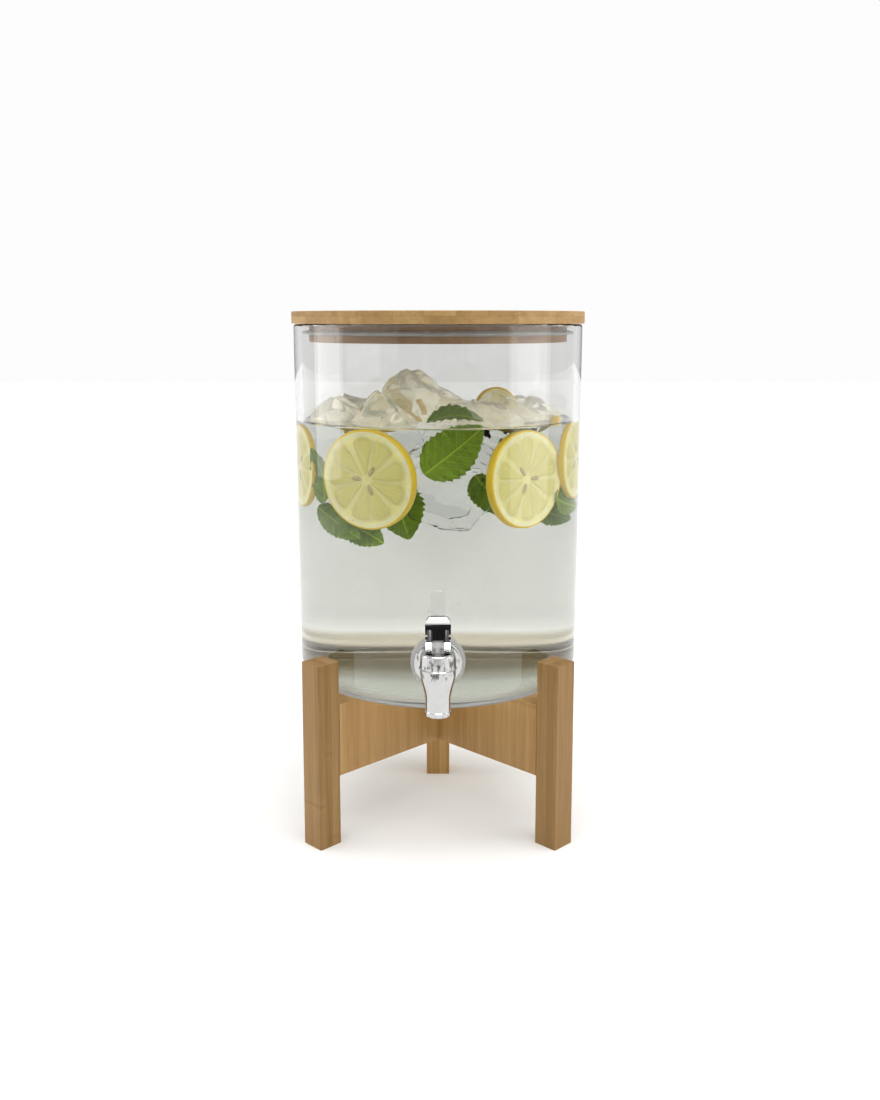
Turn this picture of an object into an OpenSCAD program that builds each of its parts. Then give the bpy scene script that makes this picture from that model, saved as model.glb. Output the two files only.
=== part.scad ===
// Countertop drink dispenser: a straight-sided glass jar with a bamboo lid, on a
// three-legged bamboo stand, with a chromed lever tap low on its front.
// Millimetres. +Z is up and the tap faces -Y. The origin is on the surface that the
// legs stand on, below the middle of the whole object's footprint.

/* [Stand] */
// Width of the square legs
leg_w = 19; // [17:0.5:21]
// Height of the two front legs
leg_h = 137; // [128:1:150]
// Gap between the glass and each front leg
leg_gap = 2.5; // [1.5:0.5:4]
// Height of the arms' top, which carries the jar
arm_top = 105; // [95:1:115]
// Depth of the arms from top to bottom
arm_h = 53.5; // [45:0.5:60]
// Distance of the rear leg's axis behind the jar's axis
rear_leg_y = 49; // [45:1:60]
// Rounding of the wooden edges
wood_edge = 0.8; // [0.5:0.1:1.5]

/* [Jar] */
// Height of the glass
glass_h = 270; // [240:5:300]
// Outer diameter at the rim
glass_d_rim = 217; // [210:1:219]
// Outer diameter just above the bottom corner
glass_d_base = 214; // [205:1:216]
// Thickness of the glass wall
glass_wall = 5.5; // [4:0.5:6]
// Thickness of the glass floor
glass_floor = 8; // [6:0.5:10]
// Radius of the outer bottom corner
glass_corner = 18; // [14:1:22]

/* [Lid] */
// Diameter of the lid
lid_d = 220; // [219:1:226]
// Thickness of the lid
lid_t = 9; // [7:0.5:12]
// Diameter of the plug that drops into the rim
plug_d = 194; // [186:1:196]
// Depth of the plug
plug_t = 13; // [11:0.5:16]

/* [Tap] */
// Height of the tap's shank above the jar's underside
shank_z = 39.5; // [34:0.5:45]
// Distance from the glass to the spout's axis
spout_reach = 36; // [32:1:42]
// Largest diameter of the bell-shaped barrel
bell_d = 23.6; // [22.6:0.2:25]
// Diameter of the spout below the bell
spout_d = 16.4; // [14.4:0.2:17]
// Height of the lever above the bonnet
lever_h = 24.5; // [22:0.5:34]
// Width of the lever
lever_w = 17; // [14:0.5:19]
// Rise of the valve when the lever is flipped right down
valve_lift = 3.5; // [2.5:0.25:4]
// Angle through which the lever flips
lever_angle = 80; // [60:5:80]

/* [Hidden] */

$fn = 128;
fine = 512;              // facets of a large curve that cuts a thin washer
eps = 0.01;              // how far a cutter runs past the face that it opens
touch = 0.05;            // gap of a seated or glued pair
slack = 0.3;             // gap between bodies that move apart
running = 0.05;          // radial clearance of a turning or sliding pin
wood = "burlywood";
chrome = "silver";
silicone = "gainsboro";

// Jar
jar_z = arm_top + touch;
rim_z = jar_z + glass_h;
rim_round = 2;
inner_corner = glass_corner - glass_wall;

// Stand: the front arms leave the jar's axis at 45 degrees to the front
arm_turn = 45;
leg_r = glass_d_base / 2 + leg_gap + leg_w / 2;
arm_z = arm_top - arm_h;
apex_y = leg_w / 2 * sqrt(2);
dowel_r = 4;
dowel_l = 28;
dowel_in_leg = 11;
dowel_inset = 13;        // from the arm's top and bottom edges
small_dowel_r = 3;
mitre_dowel_l = 26;
mitre_dowel_y = -3;
rear_dowel_l = 30;
rear_dowel_y = 1;
rear_dowel_inset = 21;

// Lid
plug_bottom = rim_z - plug_t;
seal_z = plug_bottom + 5;
seal_groove = 2;         // depth of the groove in the plug's side
seal_t = 3.4;
seal_lip_t = 1.4;
seal_d = glass_d_rim - 2 * glass_wall - 2 * slack;

// Tap: heights are measured from the shank's axis, depths from the glass
shank_h = jar_z + shank_z;
glass_r_at_tap = glass_r(shank_z);
spout_y = -(glass_r_at_tap + spout_reach);
washer_r = 19;
washer_t = 2;            // thinnest part of the outer washer
washer_gap = 0.15;       // leaves room for the jar's slight taper
shank_r = 7.8;
thread_depth = 0.7;
thread_pitch = 2;
hole_r = 8.5;            // the hole through the glass
flange_r = 16.6;
flange_t = 4;
flange_y = -(glass_r_at_tap + washer_t);
inner_wall_y = -(glass_r_at_tap - glass_wall);
inner_washer_r = 14;
inner_washer_t = 2.5;
nut_r = 13.5;            // across corners
nut_t = 8;
nut_y = inner_wall_y + inner_washer_t;
shank_end_y = nut_y + nut_t + 4;
inlet_r = 4;

bell_top = shank_h + 6.6;
bell_straight = 2.8;     // height of the bell's straight top
neck_z = bell_top - 22.6;
spout_z = bell_top - 31.9;
lip_r = spout_d / 2 + 0.5;
lip_h = 3;
seat_z = shank_h - 6.6;
seat_r = 4.5;
chamber_r = 8;
outlet_r = 5.8;
outlet_top = seat_z - 6;
bonnet_h = 11;
bonnet_r = 12.7;
bonnet_top_r = 11;
bonnet_top = bell_top + bonnet_h;
bonnet_plug_h = 2.6;
recess_r = 4.7;          // pocket under the bonnet for the spring's upper end
recess_top = bell_top + 1.9;

stem_r = 2.5;
head_r = 3.1;            // radius of the stem's head about the pin
head_w = 7;              // width of the head, along the pin
seal_h = 3.6;
valve_r = 6.3;
seal_bottom = seat_z + 0.1;
seal_top = seal_bottom + seal_h;
nib_r = 1.8;
nib_h = 2.4;
o_ring_r = 0.9;          // radius of the O-ring's section
o_ring_z = bell_top + 5;
spring_r = 3.5;          // to the middle of the wire
spring_wire = 0.4;       // radius of the wire
spring_turns = 5.5;
spring_bottom = seal_top + touch;
spring_top = recess_top - touch;

// Lever: its heel is a spiral cam, so the valve rises evenly as the lever turns
cam_base = 4.6;
cam_rate = valve_lift / lever_angle;
cam_bulge = 0.5;         // a flat top meets the spiral this much beyond its radius
pin_r = 1.25;
pin_z = bonnet_top + cam_base + cam_bulge + slack;
pin_l = lever_w - 1;
slot_w = head_w + 1;
slot_back = head_r + 0.4; // reach of the slot behind and above the pin
lever_top = bonnet_top + lever_h;
dish_r = 19;             // the paddle's front is dished with this radius
dish_depth = 1.5;
dish_lean = 8;
dish_foot = 5;
dish_out = 0.1;

// Outer radius of the glass at a height above its underside
function glass_r(z) =
    (glass_d_base + (glass_d_rim - glass_d_base) * z / glass_h) / 2;

// Points of an arc from angle a0 to angle a1
function arc(cx, cy, r, a0, a1, steps = 10) =
    [for (i = [0 : steps]) let (a = a0 + (a1 - a0) * i / steps) [cx + r * cos(a), cy + r * sin(a)]];

// Everything coaxial with the jar is drawn about its axis and moved here once
front_reach = glass_r_at_tap + spout_reach + bonnet_r;
axis_y = (front_reach - lid_d / 2) / 2;
module on_jar_axis() {
    translate([0, axis_y, 0]) children();
}

// A square bar standing on a height, with its long edges rounded
module rounded_bar(w, z0, z1) {
    inner = w / 2 - wood_edge;
    translate([0, 0, z0]) linear_extrude(z1 - z0)
        polygon([for (q = [0 : 3]) each
            arc(inner * (q == 0 || q == 3 ? 1 : -1), inner * (q < 2 ? 1 : -1), wood_edge,
                90 * q, 90 * q + 90, 5)]);
}

// Turns a child that points along +X so that it runs out along one front arm
module along_arm(side) {
    rotate(side < 0 ? 180 + arm_turn : -arm_turn) children();
}

// The heights of the two dowels at each end of an arm
dowel_heights = [arm_z + dowel_inset, arm_top - dowel_inset];
rear_heights = [arm_z + rear_dowel_inset, arm_top - rear_dowel_inset];
leg_face = leg_r - leg_w / 2;

module dowel(r, l) {
    rotate([0, 90, 0]) cylinder(r = r, h = l);
}

// The dowels between a front arm and its leg, or the holes for them
module front_leg_dowels(side, gap = 0) {
    along_arm(side) for (z = dowel_heights)
        translate([leg_face - (dowel_l - dowel_in_leg) - gap, 0, z])
            dowel(dowel_r + gap, dowel_l + 2 * gap);
}

module rear_leg_dowels(gap = 0) {
    reach = rear_leg_y - leg_w / 2 + 8;
    for (z = dowel_heights)
        translate([0, reach + gap, z]) rotate(-90) dowel(dowel_r + gap, 22 + 2 * gap);
}

module front_leg(side) {
    color(wood) on_jar_axis() difference() {
        along_arm(side) translate([leg_r, 0, 0]) rounded_bar(leg_w, 0, leg_h);
        front_leg_dowels(side, touch);
    }
}

module leg_front_left() { front_leg(-1); }
module leg_front_right() { front_leg(1); }

module leg_rear() {
    color(wood) on_jar_axis() difference() {
        translate([0, rear_leg_y, 0]) rounded_bar(leg_w, 0, arm_top);
        rear_leg_dowels(touch);
    }
}

// The dowels that cross the mitre, and those that hold the rear arm to it
module mitre_dowels(gap = 0) {
    for (z = dowel_heights)
        translate([-mitre_dowel_l / 2 - gap, mitre_dowel_y, z])
            dowel(small_dowel_r + gap, mitre_dowel_l + 2 * gap);
}
module rear_arm_dowels(gap = 0) {
    for (z = rear_heights)
        translate([0, rear_dowel_y + rear_dowel_l + gap, z]) rotate(-90)
            dowel(small_dowel_r + gap, rear_dowel_l + 2 * gap);
}

// One front arm: a board that meets its twin on the centre line in a mitre
module front_arm(side) {
    half = leg_w / 2;
    color(wood) on_jar_axis() difference() {
        translate([0, 0, arm_z]) linear_extrude(arm_h) intersection() {
            along_arm(side) translate([-leg_w, -half]) square([leg_face + leg_w, leg_w]);
            translate([side < 0 ? -2 * leg_face : 0, -2 * leg_face]) square([2 * leg_face, 4 * leg_face]);
        }
        front_leg_dowels(side, touch);
        mitre_dowels(touch);
        rear_arm_dowels(touch);
    }
}

module arm_front_left() { front_arm(-1); }
module arm_front_right() { front_arm(1); }

// The rear arm is notched over the apex where the front arms meet
module arm_rear() {
    half = leg_w / 2;
    color(wood) on_jar_axis() difference() {
        translate([0, 0, arm_z]) linear_extrude(arm_h) polygon([
            [0, apex_y], [half, apex_y - half], [half, rear_leg_y - half],
            [-half, rear_leg_y - half], [-half, apex_y - half]
        ]);
        rear_leg_dowels(touch);
        rear_arm_dowels(touch);
    }
}

module leg_dowels() {
    color("tan") on_jar_axis() {
        for (side = [-1, 1]) front_leg_dowels(side);
        rear_leg_dowels();
    }
}

module centre_dowels() {
    color("tan") on_jar_axis() {
        mitre_dowels();
        rear_arm_dowels();
    }
}

// The jar's outline inside and out, each from the axis to the rim
module glass_outer() {
    rotate_extrude() polygon(concat(
        [[0, 0]],
        arc(glass_r(glass_corner) - glass_corner, glass_corner, glass_corner, -90, 0, 14),
        arc(glass_r(glass_h) - rim_round, glass_h - rim_round, rim_round, 0, 90, 6),
        [[0, glass_h]]
    ));
}
module glass_inner() {
    wall_r = glass_r(glass_corner) - glass_wall;
    rim_r = glass_r(glass_h) - glass_wall;
    rotate_extrude() polygon(concat(
        [[0, glass_floor]],
        arc(wall_r - inner_corner, glass_floor + inner_corner, inner_corner, -90, 0, 12),
        [[rim_r, glass_h - rim_round]],
        [for (a = [15 : 15 : 90]) [rim_r + rim_round * (1 - cos(a)), glass_h - rim_round + rim_round * sin(a)]],
        [[rim_r + rim_round, glass_h + 1], [0, glass_h + 1]]
    ));
}

module glass_jar() {
    color("lightcyan", 0.35) on_jar_axis() difference() {
        translate([0, 0, jar_z]) difference() {
            glass_outer();
            glass_inner();
        }
        from_front(shank_h, -glass_r_at_tap - 5) cylinder(r = hole_r, h = 3 * glass_wall);
    }
}

// Lays a child that is drawn along +Z from the front towards the jar's axis
module from_front(z, y) {
    translate([0, y, z]) rotate([-90, 0, 0]) children();
}

// A disc with rounded edges, standing on z = 0
module rounded_disc(r, h, edge) {
    rotate_extrude() polygon(concat(
        [[0, 0]],
        arc(r - edge, edge, edge, -90, 0, 5),
        arc(r - edge, h - edge, edge, 0, 90, 5),
        [[0, h]]
    ));
}

module lid_board() {
    color(wood) on_jar_axis() translate([0, 0, rim_z + slack]) rounded_disc(lid_d / 2, lid_t, wood_edge);
}

module lid_plug() {
    color(wood) on_jar_axis() translate([0, 0, plug_bottom]) difference() {
        rounded_disc(plug_d / 2, plug_t + slack, wood_edge);
        translate([0, 0, seal_z - plug_bottom]) difference() {
            cylinder(r = plug_d, h = seal_t + 2 * touch);
            translate([0, 0, -eps]) cylinder(r = plug_d / 2 - seal_groove, h = seal_t + 1);
        }
    }
}

// Silicone ring: a flat root in the plug's groove and a thin lip that meets the glass
module lid_seal() {
    root = plug_d / 2 - seal_groove + touch;
    lip = seal_d / 2;
    mid = (seal_t - seal_lip_t) / 2;
    color(silicone) on_jar_axis() translate([0, 0, seal_z + touch]) rotate_extrude() polygon([
        [root, 0], [plug_d / 2 + 1, 0], [lip - 1, mid], [lip, mid + seal_lip_t / 2],
        [lip - 1, mid + seal_lip_t], [plug_d / 2 + 1, seal_t], [root, seal_t]
    ]);
}

// A saw-tooth thread, drawn as rings along +Z
module thread_rings(r, depth, pitch, h) {
    turns = floor(h / pitch);
    rotate_extrude() polygon(concat(
        [[0, 0], [r - depth, 0]],
        [for (i = [0 : turns - 1]) each
            [[r, (i + 0.35) * pitch], [r, (i + 0.6) * pitch], [r - depth, (i + 0.95) * pitch]]],
        [[r - depth, h], [0, h]]
    ));
}

// Radius of the bell at a fraction of the way from its shoulder down to the spout
function bell_r(t) = spout_d / 2 + (bell_d - spout_d) / 2 * (1 + cos(180 * t)) / 2;

module bell() {
    steps = 24;
    shoulder = bell_top - bell_straight;
    rotate_extrude() polygon(concat(
        [[0, bell_top], [bell_d / 2, bell_top]],
        [for (i = [0 : steps]) [bell_r(i / steps), shoulder - (shoulder - neck_z) * i / steps]],
        [[spout_d / 2, spout_z + lip_h + 0.6], [lip_r, spout_z + lip_h]],
        arc(lip_r - 0.8, spout_z + 0.8, 0.8, 0, -90, 5),
        [[0, spout_z]]
    ));
}

// Chamber, seat and outlet of the valve
module valve_passages() {
    rotate_extrude() polygon([
        [0, bell_top + 1], [chamber_r, bell_top + 1], [chamber_r, seat_z + 2], [7, seat_z],
        [seat_r, seat_z], [seat_r, outlet_top + 1.3], [outlet_r, outlet_top],
        [outlet_r, spout_z - 1], [0, spout_z - 1]
    ]);
}

module tap_body() {
    neck_r = 6.3;
    color(chrome) on_jar_axis() difference() {
        union() {
            translate([0, spout_y, 0]) bell();
            from_front(shank_h, spout_y + 2) cylinder(r = neck_r, h = flange_y - spout_y - 3);
            from_front(shank_h, flange_y - flange_t) rounded_disc(flange_r, flange_t, 1.2);
            from_front(shank_h, flange_y - eps)
                thread_rings(shank_r, thread_depth, thread_pitch, shank_end_y - flange_y);
        }
        translate([0, spout_y, 0]) valve_passages();
        from_front(shank_h, spout_y) cylinder(r = inlet_r, h = shank_end_y - spout_y + 1);
    }
}

// The washer between flange and glass: flat in front and hollowed to the glass behind
module outer_washer() {
    color(silicone) on_jar_axis() difference() {
        from_front(shank_h, flange_y + touch) difference() {
            cylinder(r = washer_r, h = 5);
            translate([0, 0, -1]) cylinder(r = shank_r + touch, h = 7);
        }
        translate([0, 0, jar_z])
            cylinder(r = glass_r_at_tap + washer_gap, h = 2 * shank_z, $fn = fine);
    }
}

module inner_washer() {
    color(silicone) on_jar_axis() difference() {
        intersection() {
            from_front(shank_h, inner_wall_y - 3) cylinder(r = inner_washer_r, h = inner_washer_t + 3 - touch);
            translate([0, 0, jar_z])
                cylinder(r = glass_r_at_tap - glass_wall - washer_gap, h = 2 * shank_z, $fn = fine);
        }
        from_front(shank_h, inner_wall_y - 4) cylinder(r = shank_r + touch, h = 9);
    }
}

module shank_nut() {
    color("whitesmoke") on_jar_axis() from_front(shank_h, nut_y) difference() {
        union() {
            cylinder(r = nut_r, h = nut_t, $fn = 6);
            cylinder(r = nut_r, h = 1.5);
        }
        translate([0, 0, -1]) cylinder(r = shank_r + touch, h = nut_t + 2);
    }
}

// The screwed cap of the tap: a rounded collar over a plug that holds the spring down
module tap_bonnet() {
    bead = 0.8;
    color(chrome) on_jar_axis() translate([0, spout_y, 0]) difference() {
        rotate_extrude() polygon(concat(
            [[0, bell_top - bonnet_plug_h], [chamber_r - touch, bell_top - bonnet_plug_h]],
            [[chamber_r - touch, bell_top + touch]],
            [[bonnet_r - 0.4, bell_top + touch], [bonnet_r, bell_top + bead / 2], [bonnet_r - 0.4, bell_top + bead]],
            [[bonnet_r - 0.8, bell_top + bead + 0.2], [bonnet_r - 0.9, bell_top + 4]],
            arc(bonnet_top_r - 1.6, bonnet_top - 2.2, 2.2, 20, 90, 6),
            [[0, bonnet_top]]
        ));
        translate([0, 0, bell_top]) cylinder(r = stem_r + running, h = bonnet_h + 1);
        translate([0, 0, bell_top - bonnet_plug_h - 1])
            cylinder(r = recess_r, h = recess_top - bell_top + bonnet_plug_h + 1);
        translate([0, 0, o_ring_z]) cylinder(r = stem_r + 2 * o_ring_r + 0.2, h = 2 * o_ring_r + 0.2, center = true);
    }
}

module stem_o_ring() {
    color("dimgray") on_jar_axis() translate([0, spout_y, o_ring_z]) rotate_extrude()
        translate([stem_r + running + o_ring_r, 0]) circle(r = o_ring_r, $fn = 32);
}

// The stem hangs from the lever's pin by a flat rounded head; the seal is pushed onto its foot
module valve_stem() {
    color("whitesmoke") on_jar_axis() translate([0, spout_y, 0]) difference() {
        union() {
            translate([0, 0, seal_top]) cylinder(r = stem_r, h = pin_z - seal_top);
            intersection() {
                translate([0, 0, pin_z]) rotate([0, 90, 0]) cylinder(r = head_r, h = head_w, center = true);
                translate([-head_w, -stem_r, pin_z - head_w]) cube([2 * head_w, 2 * stem_r, 2 * head_w]);
            }
            translate([0, 0, seal_top - nib_h]) cylinder(r = nib_r, h = nib_h + eps);
        }
        translate([0, 0, pin_z]) rotate([0, 90, 0]) cylinder(r = pin_r, h = 20, center = true);
    }
}

module valve_seal() {
    color("dimgray") on_jar_axis() translate([0, spout_y, seal_bottom]) difference() {
        rotate_extrude() polygon([
            [0, 0], [valve_r - 1, 0], [valve_r, 1], [valve_r, seal_h - 0.6], [valve_r - 0.6, seal_h], [0, seal_h]
        ]);
        translate([0, 0, seal_h - nib_h - touch]) cylinder(r = nib_r, h = nib_h + 1);
    }
}

// A wire swept along a helix, closed at both ends
module valve_spring() {
    sides = 8;
    per_turn = 16;
    rings = spring_turns * per_turn;
    rise = spring_top - spring_bottom - 2 * spring_wire;
    points = [for (i = [0 : rings]) let (a = 360 * i / per_turn, z = spring_wire + rise * i / rings)
        for (j = [0 : sides - 1]) let (b = 360 * j / sides, r = spring_r + spring_wire * cos(b))
            [r * cos(a), r * sin(a), z + spring_wire * sin(b)]];
    walls = [for (i = [0 : rings - 1]) for (j = [0 : sides - 1]) let (k = (j + 1) % sides)
        [i * sides + j, i * sides + k, (i + 1) * sides + k, (i + 1) * sides + j]];
    ends = [[for (j = [sides - 1 : -1 : 0]) j], [for (j = [0 : sides - 1]) rings * sides + j]];
    color("lightgray") on_jar_axis() translate([0, spout_y, spring_bottom])
        polyhedron(points, concat(walls, [ends[0]], [ends[1]]));
}

// Side view of the lever about its pin: u runs forward and v runs up
module lever_side() {
    front = cam_base + cam_rate * 90;
    paddle = lever_top - pin_z;
    polygon(concat(
        // the heel: a round back, then the cam that grows from below the pin to its front
        arc(0, 0, cam_base, 180, 270, 10),
        [for (a = [0 : 5 : 90]) let (r = cam_base + cam_rate * a) [r * sin(a), -r * cos(a)]],
        // the paddle: up the front in a hollow curve, over a round tip and down the back
        [for (t = [0.1 : 0.1 : 1]) [front - 4.4 * sin(90 * t), 5.2 * t + 1.2 * t * t]],
        [for (t = [0.1 : 0.1 : 1]) [front - 4.4 - 2.2 * t * t, 6.4 + (paddle - 10.6) * t]],
        arc(-0.6, paddle - 4.2, 4.2, 45, 150, 10),
        [[-4.6, paddle * 0.5]]
    ));
}

module tap_lever() {
    corner = 5.8;
    half = lever_w / 2;
    foot = pin_z - cam_base - cam_rate * lever_angle;
    color(chrome) on_jar_axis() translate([0, spout_y, 0]) difference() {
        intersection() {
            translate([half, 0, pin_z]) rotate([90, 0, -90]) linear_extrude(lever_w) lever_side();
            translate([0, 30, 0]) rotate([90, 0, 0]) linear_extrude(60) polygon(concat(
                [[-half + 0.5, foot - 1], [half - 0.5, foot - 1]],
                arc(half - corner, lever_top - corner, corner, 0, 90, 8),
                arc(-half + corner, lever_top - corner, corner, 90, 180, 8)
            ));
        }
        // the dished front of the paddle, which leans back with it
        translate([0, dish_depth - dish_r - cam_base - dish_out, pin_z + dish_foot]) rotate([-dish_lean, 0, 0])
            cylinder(r = dish_r, h = lever_top - pin_z - dish_foot - 6);
        // the slot that lets the stem pass as the lever flips forward
        translate([-slot_w / 2, -20, foot - 2]) cube([slot_w, 20 + slot_back, pin_z - foot + 2 + slot_back]);
        translate([0, 0, pin_z]) rotate([0, 90, 0]) cylinder(r = pin_r + running, h = 3 * lever_w, center = true);
    }
}

module lever_pin() {
    color("gray") on_jar_axis() translate([-pin_l / 2, spout_y, pin_z]) rotate([0, 90, 0])
        cylinder(r = pin_r, h = pin_l);
}

leg_front_left();
leg_front_right();
leg_rear();
arm_front_left();
arm_front_right();
arm_rear();
leg_dowels();
centre_dowels();
glass_jar();
lid_board();
lid_plug();
lid_seal();
tap_body();
tap_bonnet();
outer_washer();
inner_washer();
shank_nut();
valve_stem();
valve_seal();
valve_spring();
stem_o_ring();
tap_lever();
lever_pin();
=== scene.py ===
"""Looks for the countertop drink dispenser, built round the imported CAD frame."""
import math
import random

import bmesh
import bpy
from mathutils import Matrix, Vector, noise


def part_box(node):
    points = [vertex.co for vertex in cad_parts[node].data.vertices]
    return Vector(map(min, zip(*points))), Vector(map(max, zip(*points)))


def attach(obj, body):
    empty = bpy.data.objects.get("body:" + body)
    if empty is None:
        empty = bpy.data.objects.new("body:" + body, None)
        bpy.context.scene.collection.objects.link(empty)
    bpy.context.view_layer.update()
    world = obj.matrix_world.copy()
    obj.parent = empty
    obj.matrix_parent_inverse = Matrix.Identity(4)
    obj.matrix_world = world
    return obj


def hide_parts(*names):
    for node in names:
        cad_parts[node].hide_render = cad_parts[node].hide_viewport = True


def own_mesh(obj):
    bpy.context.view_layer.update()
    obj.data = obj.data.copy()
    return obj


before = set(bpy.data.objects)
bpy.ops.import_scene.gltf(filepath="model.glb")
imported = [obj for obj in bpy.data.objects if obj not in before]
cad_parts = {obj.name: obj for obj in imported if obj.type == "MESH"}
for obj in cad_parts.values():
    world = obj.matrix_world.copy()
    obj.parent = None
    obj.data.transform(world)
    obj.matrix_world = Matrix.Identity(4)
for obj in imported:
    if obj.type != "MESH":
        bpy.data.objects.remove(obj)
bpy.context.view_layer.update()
MM = 0.001


# ---------------------------------------------------------------- sizes from the frame
def span(node):
    low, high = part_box(node)
    return low, high, (low + high) / 2


jar_low, jar_high, jar_mid = span("glass_jar")
AXIS = Vector((jar_mid.x, (jar_low.y + jar_high.y) / 2, 0))
JAR_RIM_R = (jar_high.x - jar_low.x) / 2
JAR_Z, RIM_Z = jar_low.z, jar_high.z
SEAL_R = (span("lid_seal")[1].x - span("lid_seal")[0].x) / 2
INNER_RIM_R = SEAL_R + 0.3 * MM
WALL = JAR_RIM_R - INNER_RIM_R
BASE_R = JAR_RIM_R - 1.5 * MM
FLOOR_T = 8 * MM
INNER_CORNER = 12.5 * MM
WATER_LEVEL = JAR_Z + 0.199


def inner_radius(z):
    """Radius of the jar's inner wall at a height, above its rounded corner."""
    share = (z - JAR_Z) / (RIM_Z - JAR_Z)
    return BASE_R - WALL + (JAR_RIM_R - BASE_R) * share


# ---------------------------------------------------------------- camera and stage
CAMERA_DISTANCE = 0.845
CAMERA_HEIGHT = 0.378
CAMERA_PITCH = math.radians(8.62)
SENSOR = 36.0
LENS = 36.16
CAMERA_SHIFT = (0.0018, -0.0568)
AMBIENT_FRONT, AMBIENT_BACK = 0.18, 0.50
OVERHEAD = 2.0
FLOOR_GLOW = 0.06


def make_camera():
    data = bpy.data.cameras.new("camera")
    data.sensor_width = SENSOR
    data.lens = LENS
    data.shift_x, data.shift_y = CAMERA_SHIFT
    data.clip_start, data.clip_end = 0.01, 50
    cam = bpy.data.objects.new("camera", data)
    cam.location = (AXIS.x, AXIS.y - CAMERA_DISTANCE, CAMERA_HEIGHT)
    cam.rotation_euler = (math.pi / 2 - CAMERA_PITCH, 0, 0)
    bpy.context.scene.collection.objects.link(cam)
    bpy.context.scene.camera = cam


def aim(obj, target):
    obj.rotation_euler = (Vector(target) - obj.location).to_track_quat("-Z", "Y").to_euler()


def area_light(name, place, target, size, power, colour=(1, 1, 1)):
    data = bpy.data.lights.new(name, "AREA")
    data.shape = "RECTANGLE"
    data.size, data.size_y = size
    data.energy = power
    data.color = colour
    lamp = bpy.data.objects.new(name, data)
    lamp.location = place
    bpy.context.scene.collection.objects.link(lamp)
    aim(lamp, target)
    return lamp


def nodes_of(material):
    material.use_nodes = True
    tree = material.node_tree
    tree.nodes.clear()
    return tree


def add(tree, kind, **values):
    """A new node with its plain properties set."""
    made = tree.nodes.new(kind)
    for key, value in values.items():
        setattr(made, key, value)
    return made


def link(tree, source, target):
    tree.links.new(source, target)


def make_stage():
    mesh = bpy.data.meshes.new("floor")
    half = 6.0
    corners = [(-half, -half, 0), (half, -half, 0), (half, half, 0), (-half, half, 0)]
    mesh.from_pydata(corners, [], [(0, 1, 2, 3)])
    floor = bpy.data.objects.new("floor", mesh)
    bpy.context.scene.collection.objects.link(floor)
    material = bpy.data.materials.new("floor")
    tree = nodes_of(material)
    out = add(tree, "ShaderNodeOutputMaterial")
    body = add(tree, "ShaderNodeBsdfPrincipled")
    # shiny things see the room's dark end beyond the table's front
    place = add(tree, "ShaderNodeSeparateXYZ")
    link(tree, object_coords(tree), place.inputs[0])
    far = value_ramp(tree, place.outputs["Y"], -1.3, -0.75, 0.06, 1.0)
    seen = mix_colour(tree, first_mirror(tree), (1, 1, 1), far)
    link(tree, mix_colour(tree, 1.0, (0.96, 0.96, 0.955), seen, "MULTIPLY"), body.inputs["Base Color"])
    body.inputs["Roughness"].default_value = 0.7
    body.inputs["Specular IOR Level"].default_value = 0.1
    link(tree, seen, body.inputs["Emission Color"])
    body.inputs["Emission Strength"].default_value = FLOOR_GLOW
    link(tree, body.outputs[0], out.inputs["Surface"])
    mesh.materials.append(material)


def make_world():
    """White behind the object, darker behind the camera. Shiny metal also sees a dark patch there."""
    world = bpy.data.worlds.new("studio")
    bpy.context.scene.world = world
    world.use_nodes = True
    tree = world.node_tree
    tree.nodes.clear()
    out = add(tree, "ShaderNodeOutputWorld")
    back = add(tree, "ShaderNodeBackground")
    back.inputs["Color"].default_value = (1, 1, 1, 1)
    coord = add(tree, "ShaderNodeTexCoord")
    split = add(tree, "ShaderNodeSeparateXYZ")
    link(tree, coord.outputs["Generated"], split.inputs[0])

    # what lights the wood and the floor: dimmer from the front
    soft = value_ramp(tree, split.outputs["Y"], -1.0, -0.1, AMBIENT_FRONT, AMBIENT_BACK)
    # what metal and glass mirror: greyer towards the horizon, darker low behind the object
    mirror = value_ramp(tree, split.outputs["Z"], -0.1, 0.8, 0.62, 1.0)
    behind = value_ramp(tree, split.outputs["Y"], 0.2, 0.9, 1.0, 0.55)
    mirror = times(tree, mirror, behind)
    ragged = times(tree, texture_noise(tree, coord.outputs["Generated"], 9, 3, 0.6), 0.35)
    front = value_ramp(tree, plus(tree, split.outputs["Y"], ragged), -0.66, -0.72)
    low = value_ramp(tree, minus(tree, split.outputs["Z"], ragged), -0.30, -0.22)
    patch = times(tree, front, low)
    mirror = times(tree, mirror, value_ramp(tree, patch, 0.0, 1.0, 1.0, 0.02))

    path = add(tree, "ShaderNodeLightPath")
    level = add(tree, "ShaderNodeMix")
    level.inputs["A"].default_value = 0.98
    link(tree, soft, level.inputs["B"])
    link(tree, path.outputs["Is Diffuse Ray"], level.inputs["Factor"])
    final = add(tree, "ShaderNodeMix")
    link(tree, level.outputs["Result"], final.inputs["A"])
    link(tree, mirror, final.inputs["B"])
    link(tree, first_mirror(tree), final.inputs["Factor"])
    link(tree, final.outputs["Result"], back.inputs["Strength"])
    link(tree, back.outputs[0], out.inputs["Surface"])
    bpy.context.scene.view_settings.view_transform = "Standard"


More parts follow.
